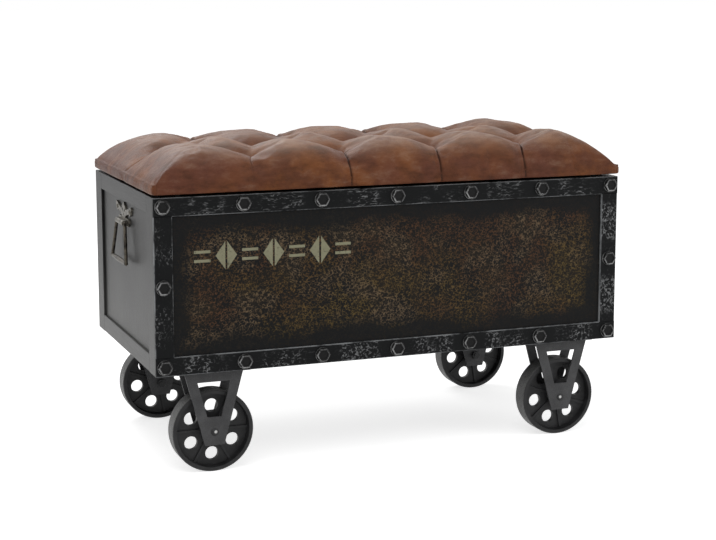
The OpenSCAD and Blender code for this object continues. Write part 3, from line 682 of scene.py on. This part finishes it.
seat = {
    "tufts": 5,                     # in the middle row
    "rowGap": 117 * mm,             # from the middle row to the rows beside it
    "inset": 2.5 * mm,              # the cover stays this far inside its drawn ends
    "endRoll": 90 * mm,             # how far in from its ends the cover rises
    "roll": 78 * mm,                # the same from front and back
    "endRound": (1.05, 1.4, 0.7),   # left end, right end's front and back; lower is fuller
    "sideRound": (0.62, 0.8),       # front and back
    "rimDrop": 5 * mm,              # how far the cover's rim is rounded down
    "crown": 52 * mm,               # start height over the board, before it swells
    "foldDepth": (0.24, 0.38),      # shares of the crown: half way along a fold, and by a tuft
    "pleatDepth": 0.38,
    "tuftDepth": 0.16,
    "mostDip": 0.62,
    "foldWidth": 56 * mm,
    "pleatWidth": 70 * mm,
    "tuftWidth": 44 * mm,
    "backFirm": 0.55,               # the back row is pulled in this much less
    "leftDrop": 3.5 * mm,           # the foam is a little thinner at the left and at the back
    "backDrop": 5.5 * mm,
    "plump": (0.33, 0.10, 5 * mm),  # and thicker here: X, Y and height
    "softFold": 12 * mm,            # how round a slanting fold's bottom is
    "crease": 1.4 * mm,             # sharp part of a fold
    "creaseWidth": 3 * mm,
    "drawIn": 2.4 * mm,             # how far pleats pull the sides in
    "drawWidth": 13 * mm,
    "heldPleat": 1 * mm,            # so far from its line the foam holds a pleat,
    "heldFold": 7 * mm,             # a slanting fold,
    "heldTuft": 4 * mm,             # and a tuft
    "cells": 20,                    # from one tuft to the next line of tufts
    "crowding": 0.42,               # how much grid lines gather at tufts and pleats
    "edgeCells": 24,
    "skirtCells": 5,
    "pressure": 1.2,
    "spareLeather": 0.02,
    "stretch": 11,                  # stiffness of the leather, pulled, sheared and bent
    "shear": 6,
    "bend": 2.0,
    "mass": 0.3,
    "mostSwell": 4 * mm,
    "steps": 20,
    "leather": 0.6 * mm,            # thickness of the turned-in hem
    "hem": 24 * mm,
    "seed": 11,
    # hand work: where a tuft or a pleat's foot sits off its regular place, in X and Y
    "strays": [
        ((-0.237, -0.117), (0.020, 0)), ((-0.079, -0.117), (0.011, 0)),
        ((0.079, -0.117), (0.012, 0)), ((0.237, -0.117), (0.004, 0)),
        ((0.079, -0.207), (-0.005, 0)), ((0.237, -0.207), (-0.014, 0)),
        ((0.237, 0.180), (-0.010, 0)), ((-0.079, 0.117), (-0.004, 0.003)),
        ((-0.400, 0.0), (0, -0.012)), ((0.400, 0.0), (0, 0.007)),
    ],
    "strayReach": 46 * mm,
}


def clamp(value):
    return np.clip(value, 0, 1)


def bell(value, width):
    return np.exp(-(value / width) ** 2)


def crowded(count, pull):
    even = np.arange(count + 1) / count
    return even - pull * np.sin(2 * np.pi * even) / (2 * np.pi)


def gridLines(lastTuft, steps, edge):
    # grid lines both ways from the middle, gathered at tufts and towards the edge
    step = lastTuft / steps
    lines = [0.0]
    for index in range(steps):
        lines += list(step * (index + crowded(seat["cells"], seat["crowding"]))[1:])
    left = 1 - np.arange(1, seat["edgeCells"] + 1) / seat["edgeCells"]
    lines += list(edge - (edge - lastTuft) * left ** 1.35)
    lines = np.array(lines)
    return np.concatenate([-lines[:0:-1], lines])


def foldLines(coverX, coverY, pitch):
    # slanting folds from tuft to tuft, and pleats from the outer tufts to the edge
    row = seat["rowGap"]
    last = (seat["tufts"] - 1) / 2
    made = []

    def add(start, end, pleat=True, deep=1.0, sharp=1.0, width=seat["pleatWidth"]):
        made.append({"start": np.array(start), "end": np.array(end), "pleat": pleat, "deep": deep,
                     "sharp": sharp, "width": width})

    for side in (-1, 1):
        for index in range(seat["tufts"] - 1):
            x = (index - last + 0.5) * pitch
            for other in (x - pitch / 2, x + pitch / 2):
                add((x, side * row), (other, 0.0), pleat=False, sharp=0.0, width=seat["foldWidth"])
            # the front pleat at the left has opened up
            add((x, side * row), (x, side * coverY), sharp=0.2 if side + index == -1 else 1.0)
        add((side * last * pitch, 0.0), (side * coverX, 0.0), sharp=0.3)
    # loose leather falls in shallow waves at the left end
    for startY, endY, deep in ((0.052, 0.066, 0.06), (-0.050, -0.074, 0.05), (-0.104, -0.136, 0.05)):
        add((-last * pitch - 0.030, startY), (-coverX, endY), deep=deep, sharp=0.0,
            width=30 * mm)
    return made


def tuftPlaces(pitch):
    last = (seat["tufts"] - 1) / 2
    made = [((index - last) * pitch, 0.0) for index in range(seat["tufts"])]
    for side in (-1, 1):
        made += [((index - last + 0.5) * pitch, side * seat["rowGap"])
                 for index in range(seat["tufts"] - 1)]
    return made


def alongFold(points, fold):
    # distance from the fold's line, signed, and how far along it from 0 to 1
    run = fold["end"] - fold["start"]
    length = np.linalg.norm(run)
    share = clamp((points - fold["start"]) @ run / length ** 2)
    away = points - fold["start"] - share[:, None] * run
    side = np.where(away[:, 0] * run[1] - away[:, 1] * run[0] < 0, -1, 1)
    return np.linalg.norm(away, axis=1) * side, share


def softNoise(points, size, seed, waves=24):
    # smooth random relief, about -1 to 1, from sine waves in random directions
    random = np.random.default_rng(seed)
    total = np.zeros(len(points))
    for _ in range(waves):
        way = random.normal(size=points.shape[1])
        way /= np.linalg.norm(way)
        total += np.sin(points @ way * 2 * np.pi / (size * random.uniform(0.7, 1.6))
                        + random.uniform(0, 2 * np.pi))
    return total / math.sqrt(waves)


def meshNormals(mesh):
    made = np.zeros(len(mesh.vertices) * 3)
    mesh.vertex_normals.foreach_get("vector", made)
    return made.reshape(-1, 3)


def meshPoints(mesh):
    made = np.zeros(len(mesh.vertices) * 3)
    mesh.vertices.foreach_get("co", made)
    return made.reshape(-1, 3)


def startShape():
    low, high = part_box("seat_cushion")
    boardLow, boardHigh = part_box("lid_board")
    coverX, coverY = high.x - seat["inset"], high.y
    pitch = (boardHigh.x - boardLow.x) / seat["tufts"]
    base = boardHigh.z + 1 * mm
    xs = gridLines((seat["tufts"] - 1) / 2 * pitch, seat["tufts"] - 1, coverX)
    ys = gridLines(seat["rowGap"], 1, coverY)
    gridX, gridY = (a.ravel() for a in np.meshgrid(xs, ys))
    flat = np.stack([gridX, gridY], 1)
    # outlines that follow the edge, each with rounder corners than the next one out
    u = clamp(1 - (coverX - np.abs(gridX)) / seat["endRoll"])
    v = clamp(1 - (coverY - np.abs(gridY)) / seat["roll"])
    m = np.maximum(u, v)
    power = 5 + 15 * m
    shrink = np.where(m > 0, m / np.maximum((u ** power + v ** power) ** (1 / power), 1e-9), 1)
    x = np.sign(gridX) * np.where(u > 0, coverX - seat["endRoll"] * (1 - u * shrink), np.abs(gridX))
    y = np.sign(gridY) * np.where(v > 0, coverY - seat["roll"] * (1 - v * shrink), np.abs(gridY))
    left, front, back = seat["endRound"]
    right = front + (back - front) * clamp((gridY + 0.03) / 0.07)
    roundX = np.where(gridX > 0, right, left)
    roundY = np.where(gridY > 0, seat["sideRound"][1], seat["sideRound"][0])
    riseX = np.maximum(np.sin(np.pi / 2 * (1 - u) ** roundX), 1e-4)
    riseY = np.maximum(np.sin(np.pi / 2 * (1 - v) ** roundY), 1e-4)
    dome = np.minimum((2 / (riseX ** -5 + riseY ** -5)) ** (1 / 5), 1)
    dips = np.zeros(len(flat))
    pleat = np.zeros(len(flat))
    crease = np.zeros(len(flat))
    hold = np.zeros(len(flat))
    for item in foldLines(coverX, coverY, pitch):
        away, share = alongFold(flat, item)
        near = np.abs(away)
        # slanting folds are deep and sharp by the tufts, and soft half way
        firm = 1.0 if item["pleat"] else np.abs(2 * share - 1) ** 1.5
        middle, end = seat["foldDepth"]
        deep = seat["pleatDepth"] if item["pleat"] else middle + (end - middle) * firm
        # each puff meets its folds like the side of a pillow
        bottom = 0 if item["pleat"] else seat["softFold"]
        off = np.sqrt(near ** 2 + bottom ** 2) - bottom
        dips += (item["deep"] * deep * clamp(1 - off / item["width"]) ** 2) ** 1.8
        crease = np.maximum(crease, np.exp(-near / seat["creaseWidth"]) * item["sharp"] * firm ** 2)
        if item["pleat"]:
            pleat = np.maximum(pleat, bell(near, seat["drawWidth"]) * item["deep"])
        if item["deep"] == 1:
            held = np.where(near < seat["heldPleat"], 1.0, 0) if item["pleat"] else np.where(
                near < seat["heldFold"], 0.2 + 0.5 * np.round(firm * 5) / 5, 0)
            hold = np.maximum(hold, held)
    tuft = np.zeros(len(flat))
    for place in tuftPlaces(pitch):
        away = np.linalg.norm(flat - place, axis=1)
        tuft = np.maximum(tuft, clamp(1 - away / seat["tuftWidth"]) ** 2)
        hold = np.where(away < seat["heldTuft"], 1.0, hold)
    mostDip = seat["mostDip"]
    dip = mostDip * np.tanh(dips ** (1 / 1.8) / mostDip) + seat["tuftDepth"] * tuft
    dip *= 1 - (1 - seat["backFirm"]) * clamp((gridY - 0.03) / 0.07)
    z = base + seat["crown"] * dome * (1 - dip)
    z -= seat["leftDrop"] * dome * clamp((0.1 - gridX) / 0.4)
    z -= seat["backDrop"] * dome * clamp((gridY + 0.06) / 0.16)
    plumpX, plumpY, plump = seat["plump"]
    z += plump * dome * np.exp(-((gridX - plumpX) ** 2 + (gridY - plumpY) ** 2) / 0.06 ** 2)
    z -= crease * seat["crease"] * clamp(dome * 1.5)
    z -= seat["rimDrop"] * clamp((m - 0.86) / 0.14) ** 2
    hold = np.where(m > 0.995, np.maximum(hold, 0.35), hold)
    # foam glued to the cover keeps both ends smooth
    hold = np.maximum(hold, 0.7 * np.round(clamp(u / 0.5) * 5) / 5)
    # pleats draw the sides in
    cut = seat["drawIn"] * pleat * m
    x -= np.where(u >= v, np.sign(gridX) * cut, 0)
    y -= np.where(v > u, np.sign(gridY) * cut, 0)
    for place, shift in seat["strays"]:
        near = np.exp(-np.sum((flat - place) ** 2, axis=1) / seat["strayReach"] ** 2)
        x += shift[0] * near
        y += shift[1] * near
    return {
        "top": np.stack([x, y, z], 1), "flat": flat, "hold": hold, "shape": (len(ys), len(xs)),
        "cover": (coverX, coverY), "pitch": pitch, "base": base, "bottom": low.z,
        "board": (boardHigh.x, boardHigh.y, boardLow.z, boardHigh.z),
    }


def rimOrder(rows, columns):
    return np.concatenate([
        np.arange(0, columns - 1),
        np.arange(0, rows - 1) * columns + columns - 1,
        (rows - 1) * columns + np.arange(columns - 1, 0, -1),
        np.arange(rows - 1, 0, -1) * columns,
    ])


def ringRows(start):
    # rows below the rim: down the skirt, in under the board as a hem, and back up round the board
    coverX, coverY = start["cover"]
    boardX, boardY, boardZ, boardTop = start["board"]
    rim = start["top"][rimOrder(*start["shape"])]
    turn = 0.9 * mm
    rows = []
    for index in range(1, seat["skirtCells"] + 1):
        share = index / seat["skirtCells"]
        z = rim[:, 2] + (start["bottom"] + turn - rim[:, 2]) * share
        rows.append(np.column_stack([rim[:, :2], z]))
    backness = clamp((rim[:, 1] - (coverY - 4 * mm)) / (3 * mm))
    under = boardZ - 0.1 * mm - seat["leather"]
    lowZ = under + (start["bottom"] - under) * backness
    scale = 1 - turn / coverX, 1 - turn / coverY
    rows.append(np.column_stack([rim[:, 0] * scale[0], rim[:, 1] * scale[1], lowZ + 0.2 * mm]))
    innerX = boardX - seat["hem"]
    innerFront, innerBack = -(boardY - seat["hem"]), boardY + 1.6 * mm
    inX = rim[:, 0] * innerX / coverX
    inY = innerFront + (rim[:, 1] + coverY) / (2 * coverY) * (innerBack - innerFront)
    for share in (0.12, 0.5, 1.0):
        rows.append(np.column_stack([
            rim[:, 0] + (inX - rim[:, 0]) * share, rim[:, 1] + (inY - rim[:, 1]) * share, lowZ,
        ]))
    rows.append(np.column_stack([inX, inY, lowZ + seat["leather"]]))
    gap = 0.3 * mm
    wallX = np.clip(rim[:, 0], -boardX - gap, boardX + gap)
    wallY = np.clip(rim[:, 1], -boardY - gap, boardY + gap)
    rows.append(np.column_stack([wallX, wallY, lowZ + seat["leather"]]))
    rows.append(np.column_stack([wallX, wallY, np.full(len(rim), boardTop + gap)]))
    return rows


def coverMesh(start):
    rows, columns = start["shape"]
    top = start["top"]
    rim = rimOrder(rows, columns)
    rings = ringRows(start)
    points = np.concatenate([top] + rings)
    faces = []
    for j in range(rows - 1):
        for i in range(columns - 1):
            a = j * columns + i
            faces.append((a, a + 1, a + 1 + columns, a + columns))
    above = list(rim)
    count = len(rim)
    for index in range(len(rings)):
        below = list(range(len(top) + index * count, len(top) + (index + 1) * count))
        for k in range(count):
            n = (k + 1) % count
            faces.append((above[n], above[k], below[k], below[n]))
        above = below
    mesh = bpy.data.meshes.new("seat_leather")
    mesh.from_pydata(points.tolist(), [], faces)
    mesh.update()
    made = addToScene("seat_leather", mesh)
    flat = np.concatenate([start["flat"]] + [start["flat"][rim]] * len(rings))
    ring = np.concatenate([np.zeros(len(top))] + [np.full(count, i + 1.0) for i in range(len(rings))])
    for name, values in (("acrossX", flat[:, 0]), ("acrossY", flat[:, 1]), ("ring", ring)):
        mesh.attributes.new(name, "FLOAT", "POINT").data.foreach_set("value", values)
    # the skirt's upper rows may round off a little
    skirt = np.clip((ring[len(top):] + 1) / seat["skirtCells"], 0.35, 1)
    hold = np.concatenate([start["hold"], skirt])
    group = made.vertex_groups.new(name="held")
    for value in np.unique(hold):
        if value > 0:
            group.add([int(i) for i in np.flatnonzero(hold == value)], float(value), "REPLACE")
    return made


def swell(piece):
    # the cover is blown up from inside like a filled cushion, held at tufts, folds and skirt
    before = meshPoints(piece.data)
    cloth = piece.modifiers.new("swell", "CLOTH")
    settings = cloth.settings
    settings.quality = 6
    settings.mass = seat["mass"]
    settings.tension_stiffness = seat["stretch"]
    settings.compression_stiffness = seat["stretch"]
    settings.shear_stiffness = seat["shear"]
    settings.bending_stiffness = seat["bend"]
    settings.use_pressure = True
    settings.uniform_pressure_force = seat["pressure"]
    settings.shrink_min = -seat["spareLeather"]
    settings.vertex_group_mass = "held"
    settings.pin_stiffness = 1.0
    settings.effector_weights.gravity = 0
    cloth.collision_settings.use_collision = False
    cloth.point_cache.frame_start = 1
    cloth.point_cache.frame_end = seat["steps"]
    scene = bpy.context.scene
    for step in range(1, seat["steps"] + 1):
        scene.frame_set(step)
    shown = piece.evaluated_get(bpy.context.evaluated_depsgraph_get())
    after = meshPoints(shown.data)
    piece.modifiers.remove(cloth)
    scene.frame_set(1)
    move = after - before
    length = np.linalg.norm(move, axis=1)
    limit = seat["mostSwell"]
    eased = limit * np.tanh(length / limit)
    move *= (eased / np.maximum(length, 1e-9))[:, None]
    print("seat swelled by at most", round(float(length.max()) * 1000, 1), "mm")
    piece.data.vertices.foreach_set("co", (before + move).ravel())
    piece.data.update()


def refine(piece):
    # one subdivision, kept as plain mesh
    smooth = piece.modifiers.new("smooth", "SUBSURF")
    smooth.levels = 1
    smooth.render_levels = 1
    smooth.boundary_smooth = "PRESERVE_CORNERS"
    shown = piece.evaluated_get(bpy.context.evaluated_depsgraph_get())
    mesh = bpy.data.meshes.new_from_object(shown)
    piece.modifiers.remove(smooth)
    old = piece.data
    piece.data = mesh
    bpy.data.meshes.remove(old)


def closeInside(piece):
    # a flat cap over the board, so that the cover is one closed skin
    work = bmesh.new()
    work.from_mesh(piece.data)
    made = bmesh.ops.edgeloop_fill(work, edges=[edge for edge in work.edges if edge.is_boundary])
    bmesh.ops.poke(work, faces=made["faces"])
    bmesh.ops.recalc_face_normals(work, faces=work.faces)
    work.to_mesh(piece.data)
    work.free()


def readValue(mesh, name):
    made = np.zeros(len(mesh.vertices))
    mesh.attributes[name].data.foreach_get("value", made)
    return made


creases = {
    "pleat": 2.8 * mm,     # depth of the sharp line of a pleat or fold
    "steep": 0.9 * mm,     # how wide it is on its steep side, and on its soft one
    "soft": 2.4 * mm,
    "foldSoft": 1.6 * mm,  # the same on both sides of a slanting fold
    "lap": 1.4 * mm,       # the leather that laps over a pleat stands up so far,
    "lapAside": 5 * mm,    # so far beside it,
    "lapWidth": 3.5 * mm,  # and so wide
    "ripple": 0.22 * mm,
    "rippleReach": 9 * mm,
    "tuck": 2.2 * mm,      # beside each corner
    "tuckWidth": 1.5 * mm,
    "tuckStrength": 0.4,
    "fan": 1.1 * mm,       # depth of the creases round a tuft, and how many
    "fans": 7,
    "fanMiddle": 14 * mm,
    "fanWidth": 11 * mm,
    "waves": 0.7 * mm,     # slow waves of the leather, and small ones
    "waveSize": 75 * mm,
    "smallWaves": 0.22 * mm,
    "smallWaveSize": 19 * mm,
    "tuftShadeReach": 15 * mm,   # painted shade round the tufts reaches so far out
    "offBoard": 0.8 * mm,  # the end pleats stay so far outside the board
}


def pucker(piece, start):
    # small creases: fanned round the tufts, across the folds, and loose ripples on the puffs
    mesh = piece.data
    points = meshPoints(mesh)
    normals = meshNormals(mesh)
    flat = np.stack([readValue(mesh, "acrossX"), readValue(mesh, "acrossY")], 1)
    ring = readValue(mesh, "ring")
    outside = clamp(1 - (ring - seat["skirtCells"]))
    random = np.random.default_rng(seat["seed"])
    move = np.zeros(len(points))
    groove = np.zeros(len(points))
    for item in foldLines(*start["cover"], start["pitch"]):
        away, share = alongFold(flat, item)
        near = np.abs(away)
        across = np.exp(-near / creases["rippleReach"]) * np.sin(
            share * random.uniform(34, 46) + random.uniform(0, 6))
        move += creases["ripple"] * item["sharp"] * across * (share * (1 - share) * 4)
        if item["pleat"]:
            # a pleat laps over itself: steep on one side, soft on the other
            steep = np.where(away > 0, creases["steep"], creases["soft"])
            steep *= 1.6 if item["start"][1] > 0.1 else 1
            fade = clamp(share / 0.12) * item["sharp"]
            groove = np.maximum(groove, np.exp(-near / steep) * fade)
            lap = bell(away - creases["lapAside"], creases["lapWidth"])
            move += creases["lap"] * lap * fade
        else:
            firm = clamp((np.abs(2 * share - 1) - 0.74) / 0.26)
            groove = np.maximum(groove, 0.7 * firm * np.exp(-near / creases["foldSoft"]))
    move -= creases["pleat"] * groove * np.where(ring > 0, 0.45, 1)
    # a small tuck beside each corner
    coverX, coverY = start["cover"]
    for sideX in (-1, 1):
        for sideY in (-1, 1):
            tuck = {"start": np.array((sideX * (coverX - 0.006), sideY * coverY)),
                    "end": np.array((sideX * (coverX - 0.026), sideY * (coverY - 0.019)))}
            away, share = alongFold(flat, tuck)
            dent = np.exp(-np.abs(away) / creases["tuckWidth"]) * (1 - share ** 2)
            dent *= creases["tuckStrength"]
            groove = np.maximum(groove, dent)
            move -= creases["tuck"] * dent
    tuft = np.full(len(points), 1.0)
    for place in tuftPlaces(start["pitch"]):
        way = flat - place
        away = np.linalg.norm(way, axis=1)
        tuft = np.minimum(tuft, away)
        angle = np.arctan2(way[:, 1], way[:, 0])
        fan = np.zeros(len(points))
        for _ in range(creases["fans"]):
            centre = random.uniform(-np.pi, np.pi)
            width = random.uniform(0.08, 0.16)
            turn = np.angle(np.exp(1j * (angle - centre)))
            fan += bell(turn, width)
        band = bell(away - creases["fanMiddle"], creases["fanWidth"])
        move -= creases["fan"] * np.clip(fan, 0, 1.3) * band
    # the ends lie smoother
    calm = 1 - 0.7 * clamp((np.abs(flat[:, 0]) - 0.31) / 0.05)
    move += creases["waves"] * softNoise(flat, creases["waveSize"], 3)
    move += creases["smallWaves"] * calm * softNoise(flat, creases["smallWaveSize"], 4)
    points += normals * (move * outside)[:, None]
    # the end pleats stop short of the board
    boardX, boardY, _, boardTop = start["board"]
    clear = boardX + creases["offBoard"]
    out = np.abs(points[:, 0])
    sunk = ((ring <= seat["skirtCells"]) & (points[:, 2] < boardTop + 0.6 * mm)
            & (out > boardX - 10 * mm) & (out < clear) & (np.abs(points[:, 1]) < boardY))
    points[:, 0] = np.where(sunk, np.sign(points[:, 0]) * clear, points[:, 0])
    print("points kept off the board:", int(sunk.sum()))
    mesh.vertices.foreach_set("co", points.ravel())
    mesh.update()
    # painted shade for the leather: in the grooves and round the tufts
    depth = np.maximum(groove, bell(tuft, creases["tuftShadeReach"])) * outside
    height = np.clip((points[:, 2] - start["base"]) / seat["crown"], 0, 1.2)
    for name, values in (("paintedCreaseShade", depth), ("raised", height)):
        mesh.attributes.new(name, "FLOAT", "POINT").data.foreach_set("value", values)
    for name in ("acrossX", "acrossY", "ring"):
        mesh.attributes.remove(mesh.attributes[name])


leather = {
    # dark brown: for darker dye bands, and for the painted shade in creases, at tufts and between the
    # grain's pebbles
    "deep": shade(46, 24, 16),
    "brown": shade(98, 57, 39),
    "warm": shade(126, 76, 44),
    "plum": shade(98, 57, 46),
    # pale leather: for lighter dye patches, for wear on the tops, and for the painted sheen there
    "worn": shade(172, 142, 120),
    "shine": shade(255, 232, 208),
    "grain": 1.9 * mm,
}


def readAttribute(tree, name):
    return addNode(tree, "Attribute", attribute_name=name).outputs["Fac"]


def seatLeather():
    made, tree, coords, _ = startFinish("mottled brown leather")
    paintedCreaseShade = readAttribute(tree, "paintedCreaseShade")
    raised = readAttribute(tree, "raised")
    mottle = noise(tree, coords, 0.055, 4.0, rough=0.6)
    drift = noise(tree, coords, 0.12, 2.0, shift=5.0)
    colour = blend(tree, rise(tree, mottle, 0.38, 0.64), leather["brown"], leather["warm"])
    colour = blend(tree, times(tree, rise(tree, drift, 0.40, 0.70), 0.8), colour, leather["plum"])
    # dye lies darker and lighter in bands along the seat
    bands = noise(tree, coords, 0.022, 4.0, rough=0.65, stretch=(2.0, 1, 0.9), shift=12.0)
    colour = blend(tree, times(tree, rise(tree, bands, 0.44, 0.74), 0.6), colour, leather["deep"])
    colour = blend(tree, times(tree, drop(tree, bands, 0.24, 0.50), 0.28), colour, leather["worn"])
    # paler towards the tops of the puffs: partly wear where it is sat on, partly a painted sheen on the
    # tops
    colour = blend(tree, times(tree, rise(tree, raised, 0.35, 0.95), 0.2), colour, leather["worn"])
    brightPatch = times(tree, rise(tree, raised, 0.72, 1.1),
                   rise(tree, noise(tree, coords, 0.02, 4.0, shift=8.0), 0.30, 0.66), 0.55)
    colour = blend(tree, brightPatch, colour, leather["worn"])
    # painted shade in the creases and round the tufts
    colour = blend(tree, times(tree, rise(tree, paintedCreaseShade, 0.1, 0.8), 0.85), colour, leather["deep"])
    pebble = cells(tree, coords, leather["grain"], warp=0.4)
    pebble = rise(tree, pebble, 0.0, 0.16)
    pores = noise(tree, coords, 0.9 * mm, 2.0)
    veins = ridges(tree, noise(tree, coords, 0.016, 3.0, shift=3.0), 0.03)
    relief = plus(tree, times(tree, pebble, 0.6), times(tree, pores, 0.25))
    relief = minus(tree, relief, times(tree, veins, 0.5))
    # painted shade in the crevices between the grain's pebbles
    colour = blend(tree, times(tree, drop(tree, pebble, 0.0, 0.6), 0.18), colour, leather["deep"])
    rough = scaleShift(tree, mottle, 0.2, 0.34)
    return endFinish(made, tree, colour, rough, gloss=0.16, relief=relief, depth=0.00022,
                     extra={"Specular Tint": leather["shine"]})


def makeSeat():
    start = startShape()
    piece = coverMesh(start)
    print("seat cover drawn with", len(piece.data.vertices), "points")
    swell(piece)
    refine(piece)
    closeInside(piece)
    pucker(piece, start)
    piece.data.polygons.foreach_set("use_smooth", [True] * len(piece.data.polygons))
    piece.data.materials.append(seatLeather())
    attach(piece, "lid")
    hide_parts("seat_cushion")


makeSeat()
print("seat made")
